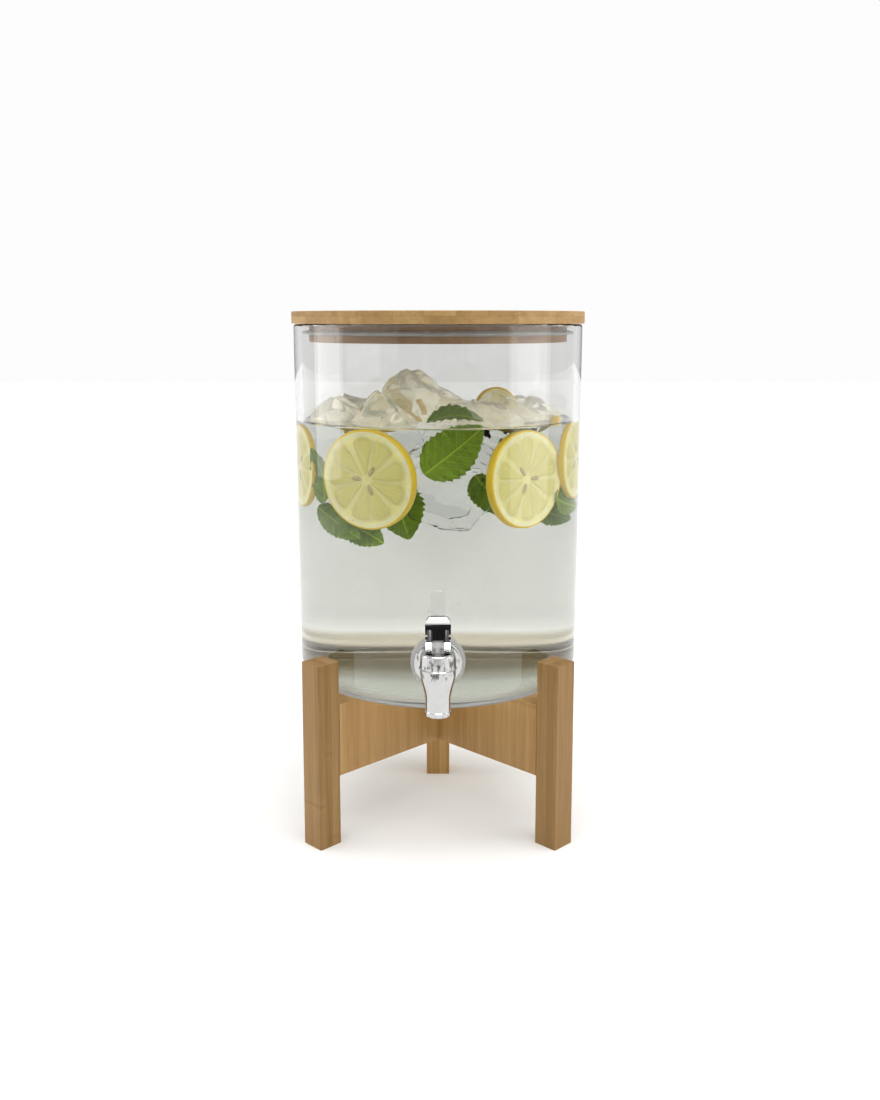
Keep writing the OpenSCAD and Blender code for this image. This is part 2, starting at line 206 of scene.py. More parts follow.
def make_lights():
    middle = (AXIS.x, AXIS.y, 0.2)
    sun = bpy.data.lights.new("overhead", "SUN")
    sun.energy = OVERHEAD
    sun.angle = math.radians(55)
    lamp = bpy.data.objects.new("overhead", sun)
    lamp.location = (0.1, -0.35, 2)
    bpy.context.scene.collection.objects.link(lamp)
    aim(lamp, (0, 0, 0))
    area_light("softbox_top", (0.0, 0.0, 1.35), middle, (0.6, 0.6), 2.4)
    area_light("softbox_right", (1.2, -0.3, 0.5), middle, (0.9, 1.2), 4.4)
    area_light("softbox_left", (-1.25, 0.1, 0.55), middle, (0.7, 1.0), 3.6)


# ---------------------------------------------------------------- node helpers
def value_ramp(tree, source, low, high, to_low=0.0, to_high=1.0, smooth=True):
    ramp = add(tree, "ShaderNodeMapRange")
    ramp.interpolation_type = "SMOOTHSTEP" if smooth else "LINEAR"
    link(tree, source, ramp.inputs["Value"])
    ramp.inputs["From Min"].default_value = low
    ramp.inputs["From Max"].default_value = high
    ramp.inputs["To Min"].default_value = to_low
    ramp.inputs["To Max"].default_value = to_high
    return ramp.outputs[0]


def maths(tree, operation, a, b=None):
    """One calculation; a and b are numbers or sockets."""
    made = add(tree, "ShaderNodeMath", operation=operation)
    for socket, given in zip(made.inputs, (a, b)):
        if given is None:
            continue
        if isinstance(given, (int, float)):
            socket.default_value = given
        else:
            link(tree, given, socket)
    return made.outputs[0]


def times(tree, a, b):
    return maths(tree, "MULTIPLY", a, b)


def plus(tree, a, b):
    return maths(tree, "ADD", a, b)


def minus(tree, a, b):
    return maths(tree, "SUBTRACT", a, b)


def mix_colour(tree, factor, a, b, blend="MIX"):
    """A blend of two colours; each input is a number, a colour or a socket."""
    made = add(tree, "ShaderNodeMix", data_type="RGBA", blend_type=blend)
    for socket, given in ((made.inputs["Factor"], factor), (made.inputs["A"], a), (made.inputs["B"], b)):
        if isinstance(given, (int, float)):
            socket.default_value = given
        elif isinstance(given, tuple):
            socket.default_value = (*given, 1)
        else:
            link(tree, given, socket)
    return made.outputs["Result"]


def first_mirror(tree):
    """1 for what is mirrored straight to the eye, without passing through glass or water first."""
    path = add(tree, "ShaderNodeLightPath")
    inside = value_ramp(tree, path.outputs["Transmission Depth"], 0.4, 0.6, smooth=False)
    return times(tree, path.outputs["Is Glossy Ray"], minus(tree, 1.0, inside))


def texture_noise(tree, vector, scale, detail=3, rough=0.5, distortion=0.0):
    made = add(tree, "ShaderNodeTexNoise")
    link(tree, vector, made.inputs["Vector"])
    made.inputs["Scale"].default_value = scale
    made.inputs["Detail"].default_value = detail
    made.inputs["Roughness"].default_value = rough
    made.inputs["Distortion"].default_value = distortion
    return made.outputs["Fac"]


def mapped(tree, vector, scale=(1, 1, 1), turn=(0, 0, 0), place=(0, 0, 0)):
    made = add(tree, "ShaderNodeMapping")
    link(tree, vector, made.inputs["Vector"])
    made.inputs["Scale"].default_value = scale
    made.inputs["Rotation"].default_value = turn
    made.inputs["Location"].default_value = place
    return made.outputs[0]


def object_coords(tree):
    return add(tree, "ShaderNodeTexCoord").outputs["Object"]


def bump_from(tree, height, strength, distance):
    made = add(tree, "ShaderNodeBump")
    link(tree, height, made.inputs["Height"])
    made.inputs["Strength"].default_value = strength
    made.inputs["Distance"].default_value = distance
    return made.outputs[0]


def new_material(name):
    material = bpy.data.materials.new(name)
    tree = nodes_of(material)
    out = add(tree, "ShaderNodeOutputMaterial")
    body = add(tree, "ShaderNodeBsdfPrincipled")
    link(tree, body.outputs[0], out.inputs["Surface"])
    return material, tree, body, out


# ---------------------------------------------------------------- materials
BAMBOO_DARK = (0.300, 0.178, 0.066)
BAMBOO_MID = (0.430, 0.272, 0.112)
BAMBOO_PALE = (0.560, 0.390, 0.190)
JOINT_SPACING = 0.235
# POST_TINT deepens the bamboo's own colour. The other tints are lit and shaded copies of it: painted light
# lifts the arms, the rear leg and the lid, and painted shade darkens the plug.
POST_TINT = (0.72, 0.63, 0.46)
ARM_LIT_TINT = (0.94, 0.83, 0.67)
REAR_LIT_TINT = (1.14, 1.02, 0.80)
LID_LIT_TINT = (1.06, 1.00, 0.86)
PLUG_SHADED_TINT = (0.64, 0.50, 0.32)
ARM_STRIP, LID_STRIP = 9 * MM, 21 * MM


def glue_line(tree, place, period, width):
    """1 on the thin lines that lie a period apart."""
    inside = maths(tree, "FRACT", maths(tree, "DIVIDE", place, period))
    edge = maths(tree, "ABSOLUTE", minus(tree, inside, 0.5))
    return value_ramp(tree, edge, 0.5 - width / period, 0.5)


def bamboo(name, along="Z", turn=0.0, strip=6 * MM, layer=0.0, seed=0.0, tint=(1, 1, 1)):
    """Laminated bamboo: strips with their own tone, fine fibres, pores and the pale bands of its joints.
    The grain runs along an axis, turn lines the strips up with a turned board, layer is the height of
    one ply, and tint multiplies the whole board's colour: painted light on some parts, painted shade on the
    plug."""
    material, tree, body, _ = new_material(name)
    coords = mapped(tree, object_coords(tree), turn=(0, 0, turn), place=(seed, seed * 0.7, seed * 0.3))
    split = add(tree, "ShaderNodeSeparateXYZ")
    link(tree, coords, split.inputs[0])
    across, third, grain = {"Z": ("X", "Y", "Z"), "Y": ("X", "Z", "Y")}[along]
    stretch = {"Z": (1, 1, 0.02), "Y": (1, 0.02, 1)}[along]

    index = maths(tree, "FLOOR", maths(tree, "DIVIDE", split.outputs[across], strip))
    if layer:
        ply = maths(tree, "FLOOR", maths(tree, "DIVIDE", split.outputs[third], layer))
        index = plus(tree, index, times(tree, ply, 17.3))
    tone = add(tree, "ShaderNodeTexWhiteNoise", noise_dimensions="1D")
    link(tree, index, tone.inputs["W"])

    fibre = texture_noise(tree, mapped(tree, coords, scale=stretch), 900, 4, 0.65)
    streak = texture_noise(tree, mapped(tree, coords, scale=stretch), 170, 3, 0.6)
    cloud = texture_noise(tree, mapped(tree, coords, scale=stretch), 38, 2, 0.5)

    # the joints of the cane: a band across each strip, at a height of its own
    offset = times(tree, tone.outputs["Value"], 0.37)
    joints = maths(tree, "DIVIDE", split.outputs[grain], JOINT_SPACING)
    run = maths(tree, "FRACT", plus(tree, joints, offset))
    near = maths(tree, "ABSOLUTE", minus(tree, run, 0.5))
    knuckle = value_ramp(tree, near, 0.012, 0.0)
    halo = value_ramp(tree, near, 0.05, 0.0)

    shade = plus(tree, times(tree, fibre, 0.34), times(tree, streak, 0.36))
    shade = plus(tree, shade, times(tree, cloud, 0.30))
    own_tone = minus(tree, tone.outputs["Value"], 0.5)
    shade = plus(tree, shade, times(tree, own_tone, 0.17))
    shade = minus(tree, shade, times(tree, knuckle, 0.10))
    shade = plus(tree, shade, times(tree, halo, 0.05))
    ramp = add(tree, "ShaderNodeValToRGB")
    link(tree, shade, ramp.inputs[0])
    ends = ramp.color_ramp.elements
    ends[0].position, ends[0].color = 0.30, (*BAMBOO_DARK, 1)
    ends[1].position, ends[1].color = 0.72, (*BAMBOO_PALE, 1)
    middle = ends.new(0.50)
    middle.color = (*BAMBOO_MID, 1)

    # dark flecks where the fibres' pores are cut open
    fleck = texture_noise(tree, mapped(tree, coords, scale=stretch), 1500, 2, 0.5)
    pores = value_ramp(tree, fleck, 0.60, 0.70)
    colour = mix_colour(tree, times(tree, pores, 0.30), ramp.outputs[0], (0.17, 0.09, 0.03))

    # glue lines between strips
    line = glue_line(tree, split.outputs[across], strip, 0.22 * MM)
    if layer:
        line = maths(tree, "MAXIMUM", line, glue_line(tree, split.outputs[third], layer, 0.4 * MM))
    colour = mix_colour(tree, times(tree, line, 0.38), colour, (0.20, 0.11, 0.04))
    link(tree, mix_colour(tree, 1.0, colour, tint, "MULTIPLY"), body.inputs["Base Color"])
    link(tree, value_ramp(tree, shade, 0.3, 0.7, 0.58, 0.42), body.inputs["Roughness"])
    dents = times(tree, maths(tree, "MAXIMUM", pores, line), 0.6)
    height = minus(tree, fibre, dents)
    link(tree, bump_from(tree, height, 0.25, 0.00025), body.inputs["Normal"])
    body.inputs["Specular IOR Level"].default_value = 0.4
    return material


def clear(name, colour, ior, wave=0.0, wave_size=20.0, shadow=0.96, milky=0.0, painted_glow=0.0):
    """Something light passes through: bent for the eye, straight for lamps, so what is inside is lit.
    milky is the share that scatters, and glow is painted light: an even emission in its own colour that
    lifts it where the lid shades it."""
    material, tree, body, out = new_material(name)
    body.inputs["Base Color"].default_value = (*colour, 1)
    body.inputs["Transmission Weight"].default_value = 1 - milky
    body.inputs["IOR"].default_value = ior
    # painted light: the ice glows in its own colour, though it is no lamp
    if painted_glow:
        body.inputs["Emission Color"].default_value = (*colour, 1)
        body.inputs["Emission Strength"].default_value = painted_glow
    coords = object_coords(tree)
    smear = texture_noise(tree, coords, 60, 3, 0.6)
    link(tree, value_ramp(tree, smear, 0.45, 0.8, 0.0, 0.02), body.inputs["Roughness"])
    if wave:
        ripple = texture_noise(tree, coords, wave_size, 2, 0.4)
        link(tree, bump_from(tree, ripple, wave, 0.002), body.inputs["Normal"])
    through = add(tree, "ShaderNodeBsdfTransparent")
    through.inputs[0].default_value = (shadow, shadow, shadow, 1)
    path = add(tree, "ShaderNodeLightPath")
    mix = add(tree, "ShaderNodeMixShader")
    link(tree, path.outputs["Is Shadow Ray"], mix.inputs[0])
    link(tree, body.outputs[0], mix.inputs[1])
    link(tree, through.outputs[0], mix.inputs[2])
    link(tree, mix.outputs[0], out.inputs["Surface"])
    return material


def metal(name, colour, rough, brushed=False):
    material, tree, body, _ = new_material(name)
    coords = object_coords(tree)
    body.inputs["Metallic"].default_value = 1
    haze = texture_noise(tree, coords, 260, 4, 0.6)
    worn = tuple(c * 0.94 for c in colour)
    link(tree, mix_colour(tree, value_ramp(tree, haze, 0.35, 0.75), colour, worn), body.inputs["Base Color"])
    link(tree, value_ramp(tree, haze, 0.4, 0.8, rough, rough * 2.2), body.inputs["Roughness"])
    if brushed:
        lines = texture_noise(tree, mapped(tree, coords, scale=(1, 1, 0.05)), 2500, 2, 0.5)
        link(tree, bump_from(tree, lines, 0.3, 0.0001), body.inputs["Normal"])
    return material


def chrome(name, level, painted_reflection_bands):
    """Polished plating with painted reflections: in each band, a height and its reach, ragged dark blots
    painted into its colour stand in for dark things in the room.
    """
    material = metal(name, (level, level, level * 0.992), 0.035)
    tree = material.node_tree
    body = next(item for item in tree.nodes if item.type == "BSDF_PRINCIPLED")
    plain = body.inputs["Base Color"].links[0].from_socket
    coords = object_coords(tree)
    split = add(tree, "ShaderNodeSeparateXYZ")
    link(tree, coords, split.inputs[0])
    ragged = texture_noise(tree, mapped(tree, coords, scale=(1, 1, 0.4)), 420, 3, 0.6)
    painted_reflections = 0.0
    for height, reach in painted_reflection_bands:
        off = maths(tree, "ABSOLUTE", minus(tree, split.outputs["Z"], height))
        near = value_ramp(tree, off, reach, 0.0)
        reflection_spot = value_ramp(tree, plus(tree, ragged, times(tree, near, 0.13)), 0.61, 0.70)
        painted_reflections = maths(tree, "MAXIMUM", painted_reflections, times(tree, reflection_spot, times(tree, near, 0.8)))
    # painted reflections: the blots darken the plating's colour
    link(tree, mix_colour(tree, painted_reflections, plain, (0.03, 0.03, 0.03)), body.inputs["Base Color"])
    return material


def moulded(name, colour, rough, grain=900.0, soft=0.0, clear_share=0.0):
    """Moulded plastic or rubber: a fine skin with slightly uneven colour."""
    material, tree, body, _ = new_material(name)
    coords = object_coords(tree)
    patchy = texture_noise(tree, coords, 90, 3, 0.55)
    deep = tuple(c * 0.86 for c in colour)
    link(tree, mix_colour(tree, value_ramp(tree, patchy, 0.3, 0.7), colour, deep), body.inputs["Base Color"])
    link(tree, value_ramp(tree, patchy, 0.3, 0.7, rough, rough + 0.12), body.inputs["Roughness"])
    skin = texture_noise(tree, coords, grain, 2, 0.5)
    link(tree, bump_from(tree, skin, 0.25, 0.1 * MM), body.inputs["Normal"])
    if soft:
        body.inputs["Subsurface Weight"].default_value = soft
        body.inputs["Subsurface Radius"].default_value = (0.004, 0.004, 0.004)
        body.inputs["Subsurface Scale"].default_value = 1.0
    if clear_share:
        body.inputs["Transmission Weight"].default_value = clear_share
    return material


def dress(node, material):
    """Gives a CAD node one material."""
    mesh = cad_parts[node].data
    mesh.materials.clear()
    mesh.materials.append(material)
    for face in mesh.polygons:
        face.material_index = 0


GLASS_FRONT, GLASS_BACK_SHADE = (0.900, 0.902, 0.895), (0.738, 0.740, 0.730)
GLASS_FLOOR_PAINTED_LIGHT = (1.0, 1.0, 0.985)
GLASS_IOR, WATER_IOR = 1.50, 1.33
CORNER_BLUR = 0.35
WATER_BACK_SHADE = (0.79, 0.79, 0.77)
WATER_FOOT_REFLECTION = (0.54, 0.49, 0.40)


def jar_glass():
    """Tinted glass, with painted shade at the back: it is tinted deeper there for the room's dim side behind
    it.
    Where the inner wall is wet, light bends only from glass to water."""
    material = clear("jar_glass", GLASS_FRONT, GLASS_IOR, wave=0.05, wave_size=14)
    tree = material.node_tree
    body = next(item for item in tree.nodes if item.type == "BSDF_PRINCIPLED")
    out = next(item for item in tree.nodes if item.type == "OUTPUT_MATERIAL")
    split = add(tree, "ShaderNodeSeparateXYZ")
    link(tree, object_coords(tree), split.inputs[0])
    off = minus(tree, split.outputs["Y"], AXIS.y)
    behind = value_ramp(tree, off, -0.02, 0.02)
    # painted shade: the back half of the glass takes the deeper tint
    tint = mix_colour(tree, behind, GLASS_FRONT, GLASS_BACK_SHADE)
    # painted light: near its floor the glass is left almost untinted, so the foot reads brighter
    painted_foot = value_ramp(tree, split.outputs["Z"], JAR_Z + FLOOR_T + 25 * MM, JAR_Z + FLOOR_T + 0.5 * MM)
    link(tree, mix_colour(tree, painted_foot, tint, GLASS_FLOOR_PAINTED_LIGHT), body.inputs["Base Color"])
    squares = plus(tree, times(tree, off, off), times(tree, split.outputs["X"], split.outputs["X"]))
    reach = maths(tree, "SQRT", squares)
    # the moulded lower corner is uneven, so it blurs
    low = value_ramp(tree, split.outputs["Z"], JAR_Z + 20 * MM, JAR_Z + 10 * MM)
    out_there = value_ramp(tree, reach, BASE_R - 22 * MM, BASE_R - 15 * MM)
    plain = body.inputs["Roughness"].links[0].from_socket
    blur = times(tree, times(tree, low, out_there), CORNER_BLUR)
    link(tree, plus(tree, plain, blur), body.inputs["Roughness"])
    indoors = maths(tree, "LESS_THAN", reach, BASE_R - 0.7 * WALL)
    over_floor = maths(tree, "GREATER_THAN", split.outputs["Z"], JAR_Z + FLOOR_T / 2)
    indoors = times(tree, indoors, over_floor)
    slope = (JAR_RIM_R - BASE_R) / (RIM_Z - JAR_Z)
    lean = times(tree, minus(tree, split.outputs["Z"], JAR_Z), slope)
    wall = minus(tree, reach, lean)
    indoors = maths(tree, "MAXIMUM", indoors, maths(tree, "LESS_THAN", wall, BASE_R - 0.5 * WALL))
    under = times(tree, maths(tree, "LESS_THAN", split.outputs["Z"], WATER_LEVEL), over_floor)
    wet = times(tree, indoors, under)
    drop = times(tree, wet, GLASS_IOR - GLASS_IOR / WATER_IOR)
    link(tree, minus(tree, GLASS_IOR, drop), body.inputs["IOR"])
    depth = add(tree, "ShaderNodeVolumeAbsorption")
    depth.inputs["Color"].default_value = (0.5, 0.55, 0.5, 1)
    depth.inputs["Density"].default_value = 2.0
    link(tree, depth.outputs[0], out.inputs["Volume"])
    return material


def dress_cad():
    quarter = math.radians(45)
    # the tints put painted light on the arms and the rear leg of one bamboo
    legs = {
        "leg_front_left": bamboo("bamboo_leg_left", turn=-quarter, seed=0.113, tint=POST_TINT),
        "leg_front_right": bamboo("bamboo_leg_right", turn=quarter, seed=0.371, tint=POST_TINT),
        "leg_rear": bamboo("bamboo_leg_rear", seed=0.419, tint=REAR_LIT_TINT),
        "arm_front_left": bamboo("bamboo_arm_left", turn=quarter, strip=ARM_STRIP, seed=0.532,
                                 tint=ARM_LIT_TINT),
        "arm_front_right": bamboo("bamboo_arm_right", turn=-quarter, strip=ARM_STRIP, seed=0.647,
                                  tint=ARM_LIT_TINT),
        "arm_rear": bamboo("bamboo_arm_rear", turn=math.pi / 2, strip=ARM_STRIP, seed=0.768, tint=ARM_LIT_TINT),
    }
    for node, material in legs.items():
        dress(node, material)
    # painted light lifts the lid's tint, painted shade darkens the plug's
    dress("lid_board", bamboo("bamboo_lid", along="Y", strip=LID_STRIP, layer=5.4 * MM, seed=0.891,
                              tint=LID_LIT_TINT))
    dress("lid_plug", bamboo("bamboo_plug", along="Y", strip=LID_STRIP, layer=6.5 * MM, seed=1.037,
                             tint=PLUG_SHADED_TINT))
    dowel = bamboo("dowel_wood", strip=30 * MM, seed=1.2)
    for node in ("leg_dowels", "centre_dowels"):
        dress(node, dowel)
    dress("glass_jar", jar_glass())
    # The levels are lit and shaded copies of one plating: painted light makes the lever brighter than the
    # body and the bonnet, which also carry painted reflections.
    bonnet_low, _, bonnet_middle = span("tap_bonnet")
    lip = span("tap_body")[0].z
    dress("tap_body", chrome("chrome_body", 0.55, ((bonnet_low.z + 1 * MM, 6 * MM), (lip, 3 * MM))))
    dress("tap_bonnet", chrome("chrome_bonnet", 0.54, ((bonnet_middle.z, 9 * MM),)))
    dress("tap_lever", chrome("chrome_lever", 0.74, ()))
    silicone = moulded("clear_silicone", (0.80, 0.80, 0.78), 0.3, soft=0.3, clear_share=0.55)
    for node in ("lid_seal", "outer_washer", "inner_washer"):
        dress(node, silicone)
    plastic = moulded("white_plastic", (0.82, 0.82, 0.80), 0.38)
    for node in ("shank_nut", "valve_stem"):
        dress(node, plastic)
    rubber = moulded("grey_rubber", (0.06, 0.06, 0.06), 0.55)
    for node in ("valve_seal", "stem_o_ring"):
        dress(node, rubber)
    steel = metal("steel", (0.62, 0.62, 0.63), 0.18, brushed=True)
    for node in ("valve_spring", "lever_pin"):
        dress(node, steel)


def make_spring():
    """The spring shortens as the stem lifts its seal; it is seen through a copy of its mesh that rides on
    the jar, and the CAD spring is hidden.
    """
    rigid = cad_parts["valve_spring"]
    coil = bpy.data.objects.new("valve_spring_coil", rigid.data.copy())
    coil.matrix_world = rigid.matrix_world.copy()
    bpy.context.scene.collection.objects.link(coil)
    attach(coil, "jar")
    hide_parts("valve_spring")
    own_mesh(coil)


# ---------------------------------------------------------------- the drink and what floats in it
def from_bmesh(bm, name):
    bmesh.ops.recalc_face_normals(bm, faces=bm.faces)
    mesh = bpy.data.meshes.new(name)
    bm.to_mesh(mesh)
    bm.free()
    return mesh


def drink_piece(name, mesh, materials, where=None):
    """A piece of the drink, riding on the jar; where is measured from the jar's axis."""
    for material in materials:
        mesh.materials.append(material)
    piece = bpy.data.objects.new("drink_" + name, mesh)
    piece.matrix_world = Matrix.Translation(AXIS) @ (where or Matrix.Identity(4))
    bpy.context.scene.collection.objects.link(piece)
    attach(piece, "jar")
    return piece


def turned(profile, steps=192):
    """A closed mesh turned about Z, from a profile that starts and ends on the axis."""
    bm = bmesh.new()
    rings = []
    for radius, height in profile:
        count = 1 if radius < 1e-7 else steps
        rings.append([bm.verts.new((radius * math.cos(math.tau * i / steps),
                                    radius * math.sin(math.tau * i / steps), height)) for i in range(count)])
    for lower, upper in zip(rings, rings[1:]):
        for i in range(steps):
            j = (i + 1) % steps
            below = [lower[i % len(lower)], lower[j % len(lower)]]
            above = [upper[j % len(upper)], upper[i % len(upper)]]
            bm.faces.new(list(dict.fromkeys(below + above)))
    for face in bm.faces:
        face.smooth = True
    return bm


def make_water():
    """Fills the jar to its level. Its sides only tint, since the jar's wet wall already bends the light; the
    tint holds painted shade at the back and, low at the back, a painted reflection of the bamboo stand.
    """
    gap = 0.1 * MM
    foot = JAR_Z + FLOOR_T
    corner = inner_radius(foot + INNER_CORNER) - INNER_CORNER
    profile = [(0, foot + gap)]
    for i in range(9):
        angle = math.pi / 2 * i / 8
        reach = INNER_CORNER - gap
        profile.append((corner + reach * math.sin(angle), foot + INNER_CORNER - reach * math.cos(angle)))
    wall = inner_radius(WATER_LEVEL) - gap
    climb = 1.6 * MM
    for i in range(8):
        inward = 0.006 * (i / 7) ** 1.5
        profile.append((wall - inward, WATER_LEVEL + climb * math.exp(-inward / (1.4 * MM))))
    profile += [(wall * 0.5, WATER_LEVEL), (0, WATER_LEVEL)]
    bm = turned(profile)
    for face in bm.faces:
        middle = face.calc_center_median()
        face.material_index = 0 if middle.z > WATER_LEVEL - gap else 1
    for edge in bm.edges:
        if len({face.material_index for face in edge.link_faces}) > 1:
            edge.smooth = False
    surface = clear("water", (0.99, 0.995, 0.99), WATER_IOR, shadow=0.99)
    sides = bpy.data.materials.new("water_side")
    tree = nodes_of(sides)
    out = add(tree, "ShaderNodeOutputMaterial")
    through = add(tree, "ShaderNodeBsdfTransparent")
    cloudy = texture_noise(tree, object_coords(tree), 25, 2, 0.5)
    tint = mix_colour(tree, cloudy, (0.975, 0.985, 0.960), (0.990, 0.995, 0.980))
    place = add(tree, "ShaderNodeSeparateXYZ")
    link(tree, object_coords(tree), place.inputs[0])
    # painted shade: the back half of the water is tinted deeper
    behind = value_ramp(tree, place.outputs["Y"], -0.02, 0.02)
    deep = mix_colour(tree, behind, (1, 1, 1), WATER_BACK_SHADE)
    # painted reflection: a brown band low at the back stands in for the bamboo stand seen through the jar's
    # floor
    painted_foot = value_ramp(tree, place.outputs["Z"], JAR_Z + FLOOR_T + 11 * MM, JAR_Z + FLOOR_T + 5 * MM)
    painted_foot = times(tree, painted_foot, behind)
    deep = mix_colour(tree, painted_foot, deep, WATER_FOOT_REFLECTION)
    link(tree, mix_colour(tree, 1.0, tint, deep, "MULTIPLY"), through.inputs[0])
    link(tree, through.outputs[0], out.inputs["Surface"])
    drink_piece("water", from_bmesh(bm, "drink_water"), [surface, sides])


def ice_shape(place, size, turn, seed):
    """A half-melted cube: between a cube and a ball, uneven, and hollowed on its faces."""
    bm = bmesh.new()
    bmesh.ops.create_cube(bm, size=1)
    bmesh.ops.subdivide_edges(bm, edges=bm.edges, cuts=11, use_grid_fill=True)
    shift = Vector((seed * 3.1, seed * 1.7, seed * 2.3))
    for vert in bm.verts:
        out = vert.co.normalized()
        vert.co = vert.co.lerp(out * 0.60, 0.42)
        lump = noise.noise(vert.co * 1.9 + shift) + 0.45 * noise.noise(vert.co * 5.2 + shift)
        vert.co += out * 0.13 * lump
    pose = Matrix.Translation(place) @ Matrix.Rotation(turn[2], 4, "Z") @ Matrix.Rotation(turn[0], 4, "X")
    pose = pose @ Matrix.Rotation(turn[1], 4, "Y")
    pose = pose @ Matrix.Diagonal((*[size * k for k in (1, 0.9, 0.82)], 1))
    bm.transform(pose)
    for face in bm.faces:
        face.smooth = True
    return bm


def cut_at_level(bm, keep_top):
    """Keeps what is above or below the water and closes the cut."""
    gap = 0.15 * MM if keep_top else -0.15 * MM
    whole = bm.verts[:] + bm.edges[:] + bm.faces[:]
    cut = bmesh.ops.bisect_plane(bm, geom=whole, plane_co=(0, 0, WATER_LEVEL + gap), plane_no=(0, 0, 1),
                                 clear_inner=keep_top, clear_outer=not keep_top)
    rim = [item for item in cut["geom_cut"] if isinstance(item, bmesh.types.BMEdge)]
    if rim:
        for edge in rim:
            edge.smooth = False
        bmesh.ops.contextual_create(bm, geom=rim)
    return bool(bm.faces)


def make_ice():
    # the ice above the water carries a faint painted glow
    above = clear("ice", (0.995, 0.970, 0.84), 1.15, wave=0.30, wave_size=75, shadow=0.98, milky=0.18,
                  painted_glow=0.045)
    below = clear("ice_in_water", (0.985, 0.99, 0.985), 1.028, wave=0.4, wave_size=110, shadow=0.99)
    blocks = [  # place from the jar's axis, size, turns
        ((-0.017, 0.000, 0.305), 0.056, (0.75, 0.62, 0.3)),
        ((-0.071, -0.006, 0.294), 0.044, (0.5, 0.4, 0.9)),
        ((0.018, -0.012, 0.293), 0.048, (0.6, 0.3, 0.2)),
        ((0.056, -0.010, 0.294), 0.052, (0.25, 0.35, 0.7)),
        ((0.079, 0.012, 0.295), 0.044, (0.5, 0.2, 1.2)),
        ((-0.036, -0.050, 0.299), 0.042, (0.4, 0.7, 0.5)),
        ((0.038, -0.052, 0.296), 0.044, (0.3, 0.5, 1.0)),
        ((-0.062, 0.040, 0.293), 0.044, (0.7, 0.3, 0.1)),
        ((0.014, 0.048, 0.292), 0.046, (0.4, 0.6, 0.6)),
        ((0.058, 0.052, 0.293), 0.042, (0.8, 0.2, 0.4)),
        ((-0.018, 0.082, 0.292), 0.038, (0.3, 0.4, 0.8)),
    ]
    for number, (place, size, turn) in enumerate(blocks):
        for keep_top, material, part in ((True, above, "top"), (False, below, "foot")):
            bm = ice_shape(Vector(place), size, turn, number + 1)
            if cut_at_level(bm, keep_top):
                label = f"ice_{number + 1}_{part}"
                drink_piece(label, from_bmesh(bm, "drink_ice"), [material])
            else:
                bm.free()
    sunk = [
        ((0.004, -0.040, 0.254), 0.046, (0.5, 0.3, 0.2)),
        ((-0.004, 0.030, 0.262), 0.044, (0.2, 0.6, 0.9)),
    ]
    for number, (place, size, turn) in enumerate(sunk):
        bm = ice_shape(Vector(place), size, turn, 20 + number)
        drink_piece(f"ice_sunk_{number + 1}", from_bmesh(bm, "drink_ice"), [below])


def fruit_material(name, colour, other, rough, scale, soft=0.0, pits=0.0, radial=False):
    material, tree, body, _ = new_material(name)
    coords = object_coords(tree)
    if radial:
        split = add(tree, "ShaderNodeSeparateXYZ")
        link(tree, coords, split.inputs[0])
        angle = maths(tree, "ARCTAN2", split.outputs["Y"], split.outputs["X"])
        reach = add(tree, "ShaderNodeVectorMath", operation="LENGTH")
        link(tree, coords, reach.inputs[0])
        join = add(tree, "ShaderNodeCombineXYZ")
        link(tree, times(tree, angle, 0.045), join.inputs[0])
        link(tree, times(tree, reach.outputs["Value"], 0.35), join.inputs[1])
        coords = join.outputs[0]
    mottled = texture_noise(tree, coords, scale, 4, 0.6)
    share = value_ramp(tree, mottled, 0.3, 0.7)
    link(tree, mix_colour(tree, share, colour, other), body.inputs["Base Color"])
    body.inputs["Roughness"].default_value = rough
    if soft:
        body.inputs["Subsurface Weight"].default_value = soft
        body.inputs["Subsurface Radius"].default_value = (0.006, 0.005, 0.002)
        body.inputs["Subsurface Scale"].default_value = 1.0
    link(tree, bump_from(tree, mottled, 0.5, pits or 0.0003), body.inputs["Normal"])
    return material


def fruit_looks():
    return [
        fruit_material("lemon_rind", (0.86, 0.62, 0.035), (0.78, 0.52, 0.02), 0.35, 700, pits=0.0004),
        fruit_material("lemon_pith", (0.86, 0.82, 0.52), (0.80, 0.74, 0.38), 0.6, 300, soft=0.3),
        fruit_material("lemon_membrane", (0.90, 0.82, 0.34), (0.85, 0.76, 0.26), 0.5, 260, soft=0.3),
        fruit_material("lemon_flesh", (0.92, 0.82, 0.26), (0.84, 0.73, 0.17), 0.25, 420, soft=0.35,
                       radial=True),
        fruit_material("lemon_seed", (0.55, 0.45, 0.22), (0.42, 0.33, 0.15), 0.4, 300),
    ]


